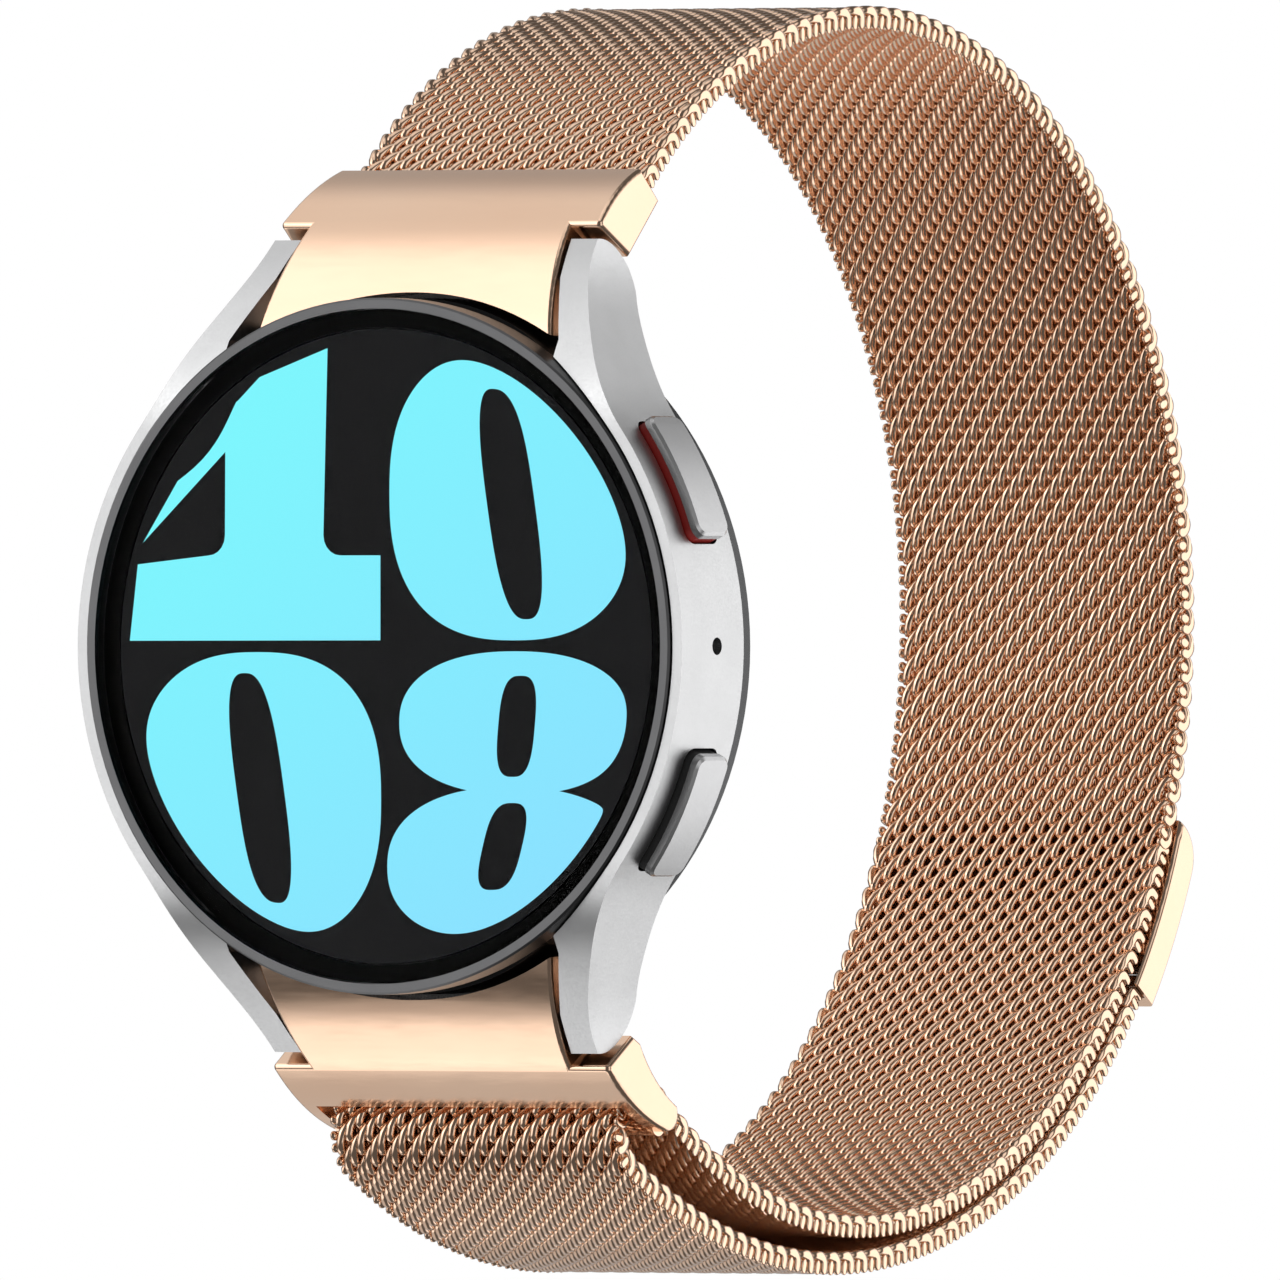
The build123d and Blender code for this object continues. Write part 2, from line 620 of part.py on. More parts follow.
def clasp_shell():
    """A curved plate with a round nose, hollow for its magnets and for the tail's end."""
    start, end = CLASP_NOSE[0], CLASP_NOSE[-1]
    nose = [polar(BACK_CENTRE, r, a) for r, a in zip((CLASP_IN_R, CLASP_NOSE_R, CLASP_OUT_R), CLASP_NOSE)]
    edges = [
        ThreePointArc(*nose),
        CenterArc(BACK_CENTRE, CLASP_OUT_R, CLASP_END, end - CLASP_END),
        Line(polar(BACK_CENTRE, CLASP_OUT_R, CLASP_END), polar(BACK_CENTRE, CLASP_IN_R, CLASP_END)),
        CenterArc(BACK_CENTRE, CLASP_IN_R, CLASP_END, start - CLASP_END),
    ]
    body = across(make_face(Wire(edges)), CLASP_HALF)
    body = fillet(body.edges().filter_by(lambda e: e.length > 8 and abs(e.center().X) > 10), CLASP_EDGE)
    magnets = wedge(CLASP_IN_R - 1, MAGNET_OUT_R, *MAGNET_BAY, 9.8)
    tail_room = wedge(CLASP_IN_R - 0.2, CLASP_MID_R + BAND_T / 2 + 0.05, -32.9, -40, BAND_HALF + 0.05)
    return body - magnets - tail_room - tail_pin_rod()


def clasp_magnets():
    low, high = PLATE_OUT_R + SEAM, MAGNET_OUT_R - SEAM
    return [wedge(low, high, a, a - MAGNET_SPAN, 9.6) for a in MAGNET_ANGLES]


def clasp_plate():
    return wedge(CLASP_IN_R, PLATE_OUT_R, MAGNET_BAY[0] - 0.1, MAGNET_BAY[1] + 0.1, 9.7)


PARTS = {
    "case_frame": case_frame,
    "bezel_ring": bezel_ring,
    "cover_glass": cover_glass,
    "display_panel": display_panel,
    "display_frame": display_frame,
    "main_board": main_board,
    "battery": battery,
    "vibration_motor": vibration_motor,
    "speaker": speaker,
    "microphone": microphone,
    "charging_coil": charging_coil,
    "sensor_board": sensor_board,
    "back_cover": back_cover,
    "back_gasket": back_gasket,
    "sensor_window": sensor_window,
    "top_end_link": top_end_link,
    "bottom_end_link": bottom_end_link,
    "top_band_pin": band_top_pin,
    "band_top": band_top,
    "band_crown": band_crown,
    "band_back": band_back,
    "band_lower": band_lower,
    "band_fold": band_fold,
    "band_tail": band_tail,
    "tail_pin": tail_pin_rod,
    "clasp_shell": clasp_shell,
    "clasp_plate": clasp_plate,
}
GROUPS = {
    "board_shields": board_shields,
    "back_screws": back_screws,
    "sensor_optics": sensor_optics,
    "clasp_magnets": clasp_magnets,
}
PAIRS = {
    "button": button_cap,
    "button_gasket": button_gasket,
    "button_switch": button_switch,
}
BAR_PARTS = {
    "bar_barrel": bar_barrel,
    "bar_fixed_pin": bar_fixed_pin,
    "bar_release_pin": bar_release_pin,
    "bar_spring": bar_spring,
}

os.makedirs("parts", exist_ok=True)
for node, make in PARTS.items():
    save(make(), node)
for node, make in GROUPS.items():
    save(Compound(children=make()), node)
for place, side in (("upper", UP), ("lower", DOWN)):
    for node, make in PAIRS.items():
        save(make(side), f"{place}_{node}")
for place, side in (("top", UP), ("bottom", DOWN)):
    for node, make in BAR_PARTS.items():
        save(make(side), f"{place}_{node}")
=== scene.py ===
import json
from math import atan2, cos, degrees, hypot, pi, radians, sin, sqrt

import bpy
import numpy as np
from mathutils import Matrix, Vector


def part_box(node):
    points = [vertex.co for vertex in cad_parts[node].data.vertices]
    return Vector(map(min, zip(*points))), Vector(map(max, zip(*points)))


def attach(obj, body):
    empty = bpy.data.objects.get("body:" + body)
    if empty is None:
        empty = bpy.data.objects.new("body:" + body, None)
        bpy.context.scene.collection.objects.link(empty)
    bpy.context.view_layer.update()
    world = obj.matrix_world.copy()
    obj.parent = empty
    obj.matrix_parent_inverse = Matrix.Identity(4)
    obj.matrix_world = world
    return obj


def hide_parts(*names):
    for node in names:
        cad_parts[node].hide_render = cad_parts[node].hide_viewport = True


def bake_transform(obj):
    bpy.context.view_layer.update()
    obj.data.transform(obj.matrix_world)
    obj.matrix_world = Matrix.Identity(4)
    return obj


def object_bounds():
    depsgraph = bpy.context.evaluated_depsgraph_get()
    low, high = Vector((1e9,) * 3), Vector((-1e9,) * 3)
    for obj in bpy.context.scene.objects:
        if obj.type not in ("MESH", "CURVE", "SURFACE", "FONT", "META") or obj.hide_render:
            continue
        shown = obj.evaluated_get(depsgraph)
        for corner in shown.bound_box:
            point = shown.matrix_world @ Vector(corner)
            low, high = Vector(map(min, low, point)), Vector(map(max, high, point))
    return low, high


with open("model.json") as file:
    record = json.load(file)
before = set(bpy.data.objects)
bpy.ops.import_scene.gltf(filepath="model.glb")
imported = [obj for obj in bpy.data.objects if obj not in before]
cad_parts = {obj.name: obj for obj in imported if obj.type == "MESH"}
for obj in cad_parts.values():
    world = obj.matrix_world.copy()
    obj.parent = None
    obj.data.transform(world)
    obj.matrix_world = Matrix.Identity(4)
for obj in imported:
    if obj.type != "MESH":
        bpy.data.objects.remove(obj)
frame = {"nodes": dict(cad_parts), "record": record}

# The looks of a round smartwatch on a woven wire band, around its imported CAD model. In metres, with X across
# the band, Y from the dial to the wrist and Z towards 12 o'clock. Millimetres are multiplied by MM.
MM = 0.001
scene = bpy.context.scene
cad_low, cad_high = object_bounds()

# --- the band's middle line, as the CAD model lays it: arcs in Y and Z ---
# Angles are in degrees up from straight back, away from the dial, about the centre of the arc they are on.
BAND_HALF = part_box("band_lower")[1].x       # half the mesh's width
BACK_CENTRE = (0.8 * MM, 1.6 * MM)
BACK_R = 36.4 * MM          # the loop's back and bottom
CROWN_R = 35.2 * MM         # the loop's top
CROWN_ANGLE = 46.0          # where the top's arc meets the back's
PIN_ANGLE = 137.4           # the pin in the top link, where the mesh starts
HINGE_ANGLES = (91.0, 46.0, 0.0)            # where the band's lengths are hinged to each other
FOLD_ANGLE = -128.4         # where the mesh starts to turn round the bottom link's crossbar
FOLD_R = 2.5 * MM
TAIL_R = 46.0 * MM          # the tail's long arc
CLASP_R = 38.05 * MM        # the tail under the clasp
TAIL_END_ANGLE = -33.2

# --- the weave ---
WIRE_R = 0.27 * MM
TURN = 1.46 * MM            # one turn of a spiral, across the band
ROW = 0.742 * MM            # from one spiral to the next, along the band
SWING = 0.9 * MM            # how far a spiral swings along the band
RISE = 0.36 * MM            # and through its thickness
TILT = 0.18 * MM            # how far each end of its swing stands out of the face it shows on
LEAN, LEAN_AT = 0.3, 0.5    # holds the wire straight past each bend, then leads it across to the next turn
STEPS = 14                  # points in a turn
SIDES = 8                   # sides of the wire
TURNS = 13.5                # turns of a spiral across the band
SPIRAL_HALF = TURNS * TURN / 2


def polar(centre, radius, angle):
    """A point on a circle in Y and Z."""
    a = radians(angle)
    return (centre[0] + radius * cos(a), centre[1] + radius * sin(a))


CROWN_CENTRE = polar(BACK_CENTRE, BACK_R - CROWN_R, CROWN_ANGLE)
FOLD_CENTRE = polar(BACK_CENTRE, BACK_R + FOLD_R, FOLD_ANGLE)


def tail_centre():
    """The centre of the tail's long arc, tangent to the fold and to the arc under the clasp."""
    to_fold, to_clasp = TAIL_R - FOLD_R, TAIL_R - CLASP_R
    dy, dz = BACK_CENTRE[0] - FOLD_CENTRE[0], BACK_CENTRE[1] - FOLD_CENTRE[1]
    apart = hypot(dy, dz)
    along = (apart**2 + to_fold**2 - to_clasp**2) / (2 * apart)
    off = sqrt(to_fold**2 - along**2)
    return (FOLD_CENTRE[0] + (along * dy - off * dz) / apart,
            FOLD_CENTRE[1] + (along * dz + off * dy) / apart)


TAIL_CENTRE = tail_centre()
TAIL_START = degrees(atan2(FOLD_CENTRE[1] - TAIL_CENTRE[1], FOLD_CENTRE[0] - TAIL_CENTRE[0]))
TAIL_JOIN = degrees(atan2(BACK_CENTRE[1] - TAIL_CENTRE[1], BACK_CENTRE[0] - TAIL_CENTRE[0]))

# Each arc: centre, radius, first and last angle. The band runs over the top and down the back, turns round
# the fold, and comes back outside the loop as the tail.
ARCS = (
    (CROWN_CENTRE, CROWN_R, PIN_ANGLE, CROWN_ANGLE),
    (BACK_CENTRE, BACK_R, CROWN_ANGLE, FOLD_ANGLE),
    (FOLD_CENTRE, FOLD_R, FOLD_ANGLE + 180, TAIL_START + 360),
    (TAIL_CENTRE, TAIL_R, TAIL_START, TAIL_JOIN),
    (BACK_CENTRE, CLASP_R, TAIL_JOIN, TAIL_END_ANGLE),
)
LENGTHS = [abs(radians(a1 - a0)) * r for _, r, a0, a1 in ARCS]
STARTS = np.concatenate([[0.0], np.cumsum(LENGTHS)])


def band_frame(s):
    """For lengths s along the band: the point in Y and Z, and the unit normal that points to the left of the
    way the band runs."""
    s = np.asarray(s, float)
    point, normal = np.zeros(s.shape + (2,)), np.zeros(s.shape + (2,))
    for i, (centre, radius, a0, a1) in enumerate(ARCS):
        low = -np.inf if i == 0 else STARTS[i]
        high = np.inf if i == len(ARCS) - 1 else STARTS[i + 1]
        on = (s >= low) & (s < high)
        turn = 1.0 if a1 > a0 else -1.0
        angle = radians(a0) + turn * (s[on] - STARTS[i]) / radius
        out = np.stack([np.cos(angle), np.sin(angle)], -1)
        point[on] = np.array(centre) + radius * out
        normal[on] = -turn * out
    return point, normal


def lay(x, s, n):
    """Points from places across the band, along it and above its middle."""
    point, normal = band_frame(s)
    yz = point + normal * np.asarray(n, float)[..., None]
    return np.stack([np.broadcast_to(x, yz.shape[:-1]), yz[..., 0], yz[..., 1]], -1)


# --- meshes ---
def mesh_object(name, points, faces, smooth=True):
    """A piece from an array of points and arrays of faces with equal corner counts."""
    mesh = bpy.data.meshes.new(name)
    loops = np.concatenate([f.ravel() for f in faces])
    sizes = np.concatenate([np.full(len(f), f.shape[1]) for f in faces])
    mesh.vertices.add(len(points))
    mesh.vertices.foreach_set("co", np.asarray(points, np.float32).ravel())
    mesh.loops.add(len(loops))
    mesh.loops.foreach_set("vertex_index", loops.astype(np.int32))
    mesh.polygons.add(len(sizes))
    mesh.polygons.foreach_set("loop_start", np.concatenate([[0], np.cumsum(sizes)[:-1]]).astype(np.int32))
    mesh.polygons.foreach_set("loop_total", sizes.astype(np.int32))
    mesh.update(calc_edges=True)
    mesh.polygons.foreach_set("use_smooth", np.full(len(sizes), smooth))
    mesh.validate()
    piece = bpy.data.objects.new(name, mesh)
    scene.collection.objects.link(piece)
    return piece


def tubes(lines, radius):
    """Round wires along several lines of the same number of points, with closed ends. lines has the shape
    (wires, points, 3). No line runs along X for long, so X sets where each ring starts."""
    tangent = np.gradient(lines, axis=1)
    tangent /= np.linalg.norm(tangent, axis=-1, keepdims=True)
    across = np.array([1.0, 0.0, 0.0]) - tangent[..., :1] * tangent
    across /= np.linalg.norm(across, axis=-1, keepdims=True)
    third = np.cross(tangent, across)
    turn = (np.arange(SIDES) + 0.5) * 2 * pi / SIDES
    ring = across[..., None, :] * np.cos(turn)[:, None] + third[..., None, :] * np.sin(turn)[:, None]
    points = lines[..., None, :] + ring * radius
    wires, count = lines.shape[:2]
    index = np.arange(wires * count * SIDES).reshape(wires, count, SIDES)
    after = np.roll(index, -1, axis=2)
    walls = np.stack([index[:, :-1], after[:, :-1], after[:, 1:], index[:, 1:]], -1).reshape(-1, 4)
    caps = np.concatenate([index[:, 0, ::-1], index[:, -1, :]])
    return points.reshape(-1, 3), [walls, caps]


def joined(parts):
    """Several (points, faces) as one."""
    points, faces, offset = [], [], 0
    for p, fs in parts:
        points.append(p)
        faces += [f + offset for f in fs]
        offset += len(p)
    return np.concatenate(points), faces


# --- the woven band ---
EDGE_WIRE_R = 0.3 * MM
EDGE_POLISH = 0.2 * MM      # how much of the edge's wire is ground away flat
EDGE_X = BAND_HALF - EDGE_WIRE_R + EDGE_POLISH
LEG_SUNK = 0.06 * MM        # how much further the legs are ground away than the arches
TURNED_SUNK = 0.02 * MM     # and how much further the wire ends in TURNED are
BETWEEN = 4                 # rings of a wire end from one point of its shape to the next
TIP = 0.03                  # how far a wire's last ring is from its rounded tip, in radii
# A wire end's shape on the edge, which repeats every second row: millimetres in from the edge, then along the
# band and through its thickness. An arch comes off one face and turns over to the other, with a leg under it.
EDGE_ARCH = ((0.4, -0.8, 0.3), (0.22, -0.35, 0.43), (0.05, 0.08, 0.44), (0, 0.42, 0.34), (0, 0.64, 0.05),
             (0, 0.63, -0.3), (0, 0.54, -0.66))
EDGE_LEG = ((0, 0.04, 0.16), (0, 0.0, -0.15), (0, -0.12, -0.68))
TURNED = (100.0 * MM, 170.7 * MM)   # between these lengths the arches stand on the band's other face


def spirals(first, last):
    """Rows of spirals, each half a turn off the one before, so that they hold each other."""
    rows = np.arange(first, last)[:, None]
    t = np.linspace(0, TURNS * 2 * pi, round(TURNS * STEPS) + 1)[None, :]
    phase = t + rows * pi
    x = -SPIRAL_HALF + TURN / (2 * pi) * (t - LEAN * np.sin(2 * (phase - LEAN_AT)))
    return lay(x, rows * ROW - SWING * np.cos(phase), RISE * np.sin(phase) + TILT * np.cos(phase))


def smooth_line(points):
    """A smooth line through points."""
    points = np.array([points[0], *points, points[-1]], float) * MM
    t = np.arange(BETWEEN)[:, None] / BETWEEN
    parts = [(2 * b + (c - a) * t + (2 * a - 5 * b + 4 * c - d) * t**2 + (3 * b - a - 3 * c + d) * t**3) / 2
             for a, b, c, d in zip(points, points[1:], points[2:], points[3:])]
    return np.concatenate(parts + [points[-1:]])


def edge_wires(first, last, side):
    """The polished wire ends along one edge. No two that cross are ground to one plane."""
    middles = (np.arange(first, last, 2) + 1) * ROW
    turned = (middles > TURNED[0]) & (middles < TURNED[1])
    parts = []
    for shape, sunk in ((EDGE_ARCH, 0.0), (EDGE_LEG, LEG_SUNK)):
        inward, along, through = smooth_line(shape).T
        walk = np.concatenate([[0.0], np.cumsum(np.hypot(np.diff(along), np.diff(through)))])
        from_end = np.minimum(walk, walk[-1] - walk) / EDGE_WIRE_R
        radius = EDGE_WIRE_R * np.sqrt(1 - (1 - np.clip(from_end, TIP, 1)) ** 2)
        for way, own, edge in ((1, middles[~turned], BAND_HALF - sunk),
                               (-1, middles[turned], BAND_HALF - sunk - TURNED_SUNK)):
            if len(own):
                lines = lay(side * (EDGE_X - inward), own[:, None] + way * along, way * through)
                points, faces = tubes(lines, radius[:, None, None])
                points[:, 0] = np.clip(points[:, 0], -edge, edge)
                parts.append((points, faces))
    return parts


def weave(name, first, last):
    """A length of mesh from one row to another, both even."""
    parts = [tubes(spirals(first, last), WIRE_R)]
    for side in (-1, 1):
        parts += edge_wires(first, last, side)
    piece = mesh_object(name, *joined(parts))
    piece.data.materials.append(MATERIALS["mesh"])
    return piece


def at(s):
    """A point on the band, in the middle of its width."""
    return Vector(lay(np.array(0.0), np.array(s), 0.0))


def even_row(s):
    """The even row nearest to a length along the band."""
    return 2 * round(s / ROW / 2)


# --- procedural materials ---
BUMP_DEPTH = 0.00001        # how deep a material's grain is
BROAD = 0.04                # how fine the drift between a material's two colours is, against its grain
GLOW_START, GLOW_END = -16 * MM, 18 * MM    # where the numerals' two colours lie, towards the lower right


class Nodes:
    """A few calls that keep a node tree short to write."""

    def __init__(self, tree, keep=False):
        self.tree = tree
        if not keep:
            tree.nodes.clear()

    def add(self, kind, **settings):
        node = self.tree.nodes.new(kind)
        for key, value in settings.items():
            setattr(node, key, value)
        return node

    def link(self, out, into):
        self.tree.links.new(out, into)

    def noise(self, scale, detail, stretch=(1, 1, 1)):
        """A noise over the object's own space; scale is in features per metre."""
        place = self.add("ShaderNodeTexCoord")
        mapping = self.add("ShaderNodeMapping")
        mapping.inputs["Scale"].default_value = stretch
        texture = self.add("ShaderNodeTexNoise")
        texture.inputs["Scale"].default_value = scale
        texture.inputs["Detail"].default_value = detail
        self.link(place.outputs["Object"], mapping.inputs["Vector"])
        self.link(mapping.outputs["Vector"], texture.inputs["Vector"])
        return texture.outputs["Fac"]

    def span(self, value, low, high, from_low=0.3, from_high=0.7):
        """A value mapped to another range."""
        node = self.add("ShaderNodeMapRange")
        node.inputs["From Min"].default_value = from_low
        node.inputs["From Max"].default_value = from_high
        node.inputs["To Min"].default_value = low
        node.inputs["To Max"].default_value = high
        self.link(value, node.inputs["Value"])
        return node.outputs["Result"]

    def mix(self, factor, first, second):
        """Two colours mixed by a value."""
        node = self.add("ShaderNodeMix", data_type="RGBA")
        self.link(factor, node.inputs["Factor"])
        for socket, colour in ((6, first), (7, second)):
            if isinstance(colour, tuple):
                node.inputs[socket].default_value = (*colour, 1)
            else:
                self.link(colour, node.inputs[socket])
        return node.outputs[2]

    def bump(self, height, strength):
        node = self.add("ShaderNodeBump")
        node.inputs["Strength"].default_value = strength
        node.inputs["Distance"].default_value = BUMP_DEPTH
        self.link(height, node.inputs["Height"])
        return node.outputs["Normal"]


def surface(name, first, second, rough, grain, stretch=(1, 1, 1), bump=0.15, **constants):
    """A material whose colour and roughness vary with a grain. first and second are its two colours, rough
    its two roughnesses and grain its scale in features per metre. constants go straight on the sockets."""
    material = bpy.data.materials.new(name)
    material.use_nodes = True
    nodes = Nodes(material.node_tree)
    shader = nodes.add("ShaderNodeBsdfPrincipled")
    output = nodes.add("ShaderNodeOutputMaterial")
    nodes.link(shader.outputs["BSDF"], output.inputs["Surface"])
    fine = nodes.noise(grain, 3.0, stretch)
    broad = nodes.noise(grain * BROAD, 2.0)
    nodes.link(nodes.mix(nodes.span(broad, 0, 1), first, second), shader.inputs["Base Color"])
    nodes.link(nodes.span(fine, rough[0], rough[1]), shader.inputs["Roughness"])
    if bump:
        nodes.link(nodes.bump(fine, bump), shader.inputs["Normal"])
    for key, value in constants.items():
        shader.inputs[key.replace("_", " ")].default_value = value
    return material


UNDER_GLASS_R = 20.04 * MM      # the bezel is black inside this
SHADED_SEAT_R = 20.73 * MM             # and the case inside this, where the bezel sits: painted shade where the links shade the case wall
BLACK = (0.002, 0.002, 0.002)
BLACK_FADE = 0.02 * MM
ROSE = (0.98, 0.685, 0.495)
ROSE_DEEP = (0.97, 0.66, 0.47)


def black_inside(material, radius):
    """Blackens a material within a distance from the dial's axis."""
    tree = material.node_tree
    nodes = Nodes(tree, keep=True)
    base = tree.nodes["Principled BSDF"].inputs["Base Color"]
    colour = base.links[0].from_socket
    place = nodes.add("ShaderNodeTexCoord")
    flat = nodes.add("ShaderNodeVectorMath", operation="MULTIPLY")
    flat.inputs[1].default_value = (1, 0, 1)
    reach = nodes.add("ShaderNodeVectorMath", operation="LENGTH")
    nodes.link(place.outputs["Object"], flat.inputs[0])
    nodes.link(flat.outputs["Vector"], reach.inputs[0])
    edge = nodes.span(reach.outputs["Value"], 0, 1, radius, radius + BLACK_FADE)
    nodes.link(nodes.mix(edge, BLACK, colour), base)
    return material


def rose_gold():
    """Plated steel, polished, with the faint lines of its buffing across the band."""
    return surface("rose_gold", ROSE, ROSE_DEEP, (0.12, 0.2), 2500, (0.15, 1, 1), bump=0.08, Metallic=1.0)


def mesh_wire():
    """The band's wire: the links' plating on a smoother surface."""
    return surface("mesh_wire", ROSE, ROSE_DEEP, (0.06, 0.12), 6000, bump=0.08, Metallic=1.0)


def case_metal():
    """Aluminium with a fine blasted grain, and painted shade in black round the seat of the bezel, where the
    links shade the case wall.
    """
    metal = surface("case_aluminium", (0.65, 0.652, 0.656), (0.62, 0.622, 0.626), (0.3, 0.42), 9000,
                    bump=0.25, Metallic=1.0)
    # Painted shade: the case is coloured black inside the seat's radius, standing in for the shadow under the
    # links.
    return black_inside(metal, SHADED_SEAT_R)


def button_metal():
    return surface("button_aluminium", (0.6, 0.6, 0.605), (0.57, 0.57, 0.575), (0.3, 0.4), 9000, bump=0.2,
                   Metallic=1.0)


def bezel_metal():
    """Dark grey outside, and black where it goes in under the glass."""
    metal = surface("bezel_grey", (0.15, 0.15, 0.153), (0.135, 0.135, 0.138), (0.28, 0.38), 8000,
                    Metallic=1.0)
    return black_inside(metal, UNDER_GLASS_R)


def glass():
    """Clear cover glass, coated so that it hardly reflects."""
    return surface("cover_glass", (1, 1, 1), (0.99, 0.995, 1), (0.0, 0.01), 300, bump=0,
                   Transmission_Weight=1.0, IOR=1.05)


def panel_black():
    """The display where it isn't lit."""
    return surface("display_black", (0.002, 0.002, 0.0025), (0.003, 0.003, 0.0035), (0.3, 0.4), 4000, bump=0,
                   Specular_IOR_Level=0.1)


def plain(name, first, second, rough, grain=4000, **constants):
    """A maker of a material that needs no more than its colours, roughness and grain."""
    return lambda: surface(name, first, second, rough, grain, **constants)


def numeral_glow():
    """The lit numerals: a cyan that turns bluer towards the lower right."""
    material = bpy.data.materials.new("numeral_glow")
    material.use_nodes = True
    nodes = Nodes(material.node_tree)
    shader = nodes.add("ShaderNodeBsdfPrincipled")
    output = nodes.add("ShaderNodeOutputMaterial")
    nodes.link(shader.outputs["BSDF"], output.inputs["Surface"])
    place = nodes.add("ShaderNodeTexCoord")
    down_right = nodes.add("ShaderNodeVectorMath", operation="DOT_PRODUCT")
    down_right.inputs[1].default_value = (0.62, 0.0, -0.78)
    nodes.link(place.outputs["Object"], down_right.inputs[0])
    shade = nodes.span(down_right.outputs["Value"], 0, 1, GLOW_START, GLOW_END)
    colour = nodes.mix(shade, (0.21, 0.92, 0.985), (0.26, 0.76, 1.0))
    shader.inputs["Base Color"].default_value = (0, 0, 0, 1)
    shader.inputs["Specular IOR Level"].default_value = 0.0
    shader.inputs["Emission Strength"].default_value = 1.0
    nodes.link(colour, shader.inputs["Emission Color"])
    return material


# What makes the material of each slot that the record gives.
MAKERS = {
    "case_metal": case_metal,
    "bezel_metal": bezel_metal,
    "glass": glass,
    "display": panel_black,
    "back_shell": plain("back_shell", (0.016, 0.017, 0.02), (0.022, 0.023, 0.026), (0.22, 0.34)),
    "sensor_glass": plain("sensor_glass", (0.004, 0.004, 0.005), (0.006, 0.006, 0.007), (0.03, 0.06), bump=0),
    "rose_gold": rose_gold,
    "mesh": mesh_wire,
    "button_metal": button_metal,
    "red_gasket": plain("red_gasket", (0.28, 0.012, 0.008), (0.22, 0.008, 0.006), (0.45, 0.6)),
    "black_gasket": plain("black_gasket", (0.012, 0.012, 0.012), (0.02, 0.02, 0.02), (0.5, 0.7)),
    "circuit_board": plain("circuit_board", (0.01, 0.09, 0.035), (0.015, 0.12, 0.05), (0.3, 0.45), 9000),
    "battery_wrap": plain("battery_wrap", (0.5, 0.5, 0.51), (0.42, 0.42, 0.43), (0.35, 0.5), Metallic=0.8),
    "steel": plain("steel", (0.55, 0.55, 0.56), (0.5, 0.5, 0.51), (0.2, 0.32), 6000, Metallic=1.0),
    "copper": plain("copper", (0.8, 0.36, 0.2), (0.7, 0.3, 0.16), (0.25, 0.4), 6000, Metallic=1.0),
    "frame_plastic": plain("frame_plastic", (0.03, 0.03, 0.032), (0.04, 0.04, 0.042), (0.4, 0.55)),
}
MATERIALS = {slot: make() for slot, make in MAKERS.items()}
MATERIALS["numerals"] = numeral_glow()


def finish_cad_nodes():
    """Each CAD node gets the material of the slot that the record gives it."""
    for part in frame["record"]["subparts"]:
        piece = frame["nodes"][part["node"]]
        for place in piece.material_slots:
            place.material = MATERIALS[part["material_slot"]]


finish_cad_nodes()

# --- the band's pieces: each crosses at most one joint ---
# Where one piece ends and the next starts, in millimetres along the band.
PIECE_SEAMS = (0.0, 14.2, 42.2, 70.7, 100.2, 135.5, 170.7, 184.0, 210.0)
BAND_LENGTH = STARTS[-1]
HINGE_S = [abs(radians(a - PIN_ANGLE)) * CROWN_R for a in HINGE_ANGLES[:2]]
HINGE_S.append(HINGE_S[1] + radians(HINGE_ANGLES[1] - HINGE_ANGLES[2]) * BACK_R)
TAIL_HINGE_S = STARTS[3]
BEND_REACH = (11.0 * MM, 11.0 * MM)     # points on the band are looked up this far before and after a hinge
TAIL_BEND_REACH = (1.5 * MM, 6.0 * MM)
ROWS = [even_row(s * MM) for s in PIECE_SEAMS] + [even_row(BAND_LENGTH) - 2]

# Each piece: name, the body it rides on when it crosses no joint, the body past its joint, and how far along
# the band that joint is.
BAND_PIECES = (
    ("mesh_at_top_link", "band_top_run", None, None),
    ("mesh_top", "band_top_run", "band_crown_run", HINGE_S[0]),
    ("mesh_crown", "band_crown_run", "band_back_run", HINGE_S[1]),
    ("mesh_back", "band_back_run", "band_lower_run", HINGE_S[2]),
    ("mesh_lower", "band_lower_run", None, None),
    ("mesh_at_bottom_link", "band_lower_run", None, None),
    ("mesh_fold", "band_lower_run", "band_tail_run", TAIL_HINGE_S),
    ("mesh_tail", "band_tail_run", None, None),
    ("mesh_at_clasp", "band_tail_run", None, None),
)
# The plain CAD lengths that the pieces stand in for.
REPLACED = {
    "mesh_at_top_link": ["band_top"],
    "mesh_crown": ["band_crown"],
    "mesh_back": ["band_back"],
    "mesh_lower": ["band_lower"],
    "mesh_fold": ["band_fold"],
    "mesh_tail": ["band_tail"],
}
for (name, body, next_body, hinge), first, last in zip(BAND_PIECES, ROWS, ROWS[1:]):
    piece = weave(name, first, last)
    if next_body is None:
        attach(piece, body)
    else:
        before, after = TAIL_BEND_REACH if hinge == TAIL_HINGE_S else BEND_REACH
        at(hinge - before)
        at(hinge + after)
        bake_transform(piece)
    if name in REPLACED:
        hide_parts(*REPLACED[name])


# --- the lit numerals, under the glass, drawn in millimetres from the dial's centre ---
GLASS_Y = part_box("cover_glass")[1].y
PANEL_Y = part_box("display_panel")[0].y
NUMERAL_Y = (GLASS_Y + PANEL_Y) / 2
NUMERAL_HALF = 0.008 * MM   # half the thickness of the numerals
LIT_R = 18.35 * MM          # the round of the display that lights up
LIT_CORNER = 24             # how sharply an outline turns to follow that round
OVAL_POINTS = 120


def in_lit_circle(points):
    """An outline held inside the round of the display that lights up."""
    points = np.asarray(points, float) * MM
    reach = np.hypot(points[:, 0], points[:, 1]) / LIT_R
    return points * ((1 + reach**LIT_CORNER) ** (-1 / LIT_CORNER))[:, None]


def oval(x, z, half_w, half_h, power, lean=0.0):
    """An oval outline, squarer for a higher power. lean shifts its top sideways."""
    t = np.arange(OVAL_POINTS) * 2 * pi / OVAL_POINTS
    c, s = np.cos(t), np.sin(t)
    px = half_w * np.sign(c) * np.abs(c) ** (2 / power)
    pz = half_h * np.sign(s) * np.abs(s) ** (2 / power)
    return np.stack([x + px + lean * pz / half_h, z + pz], -1)


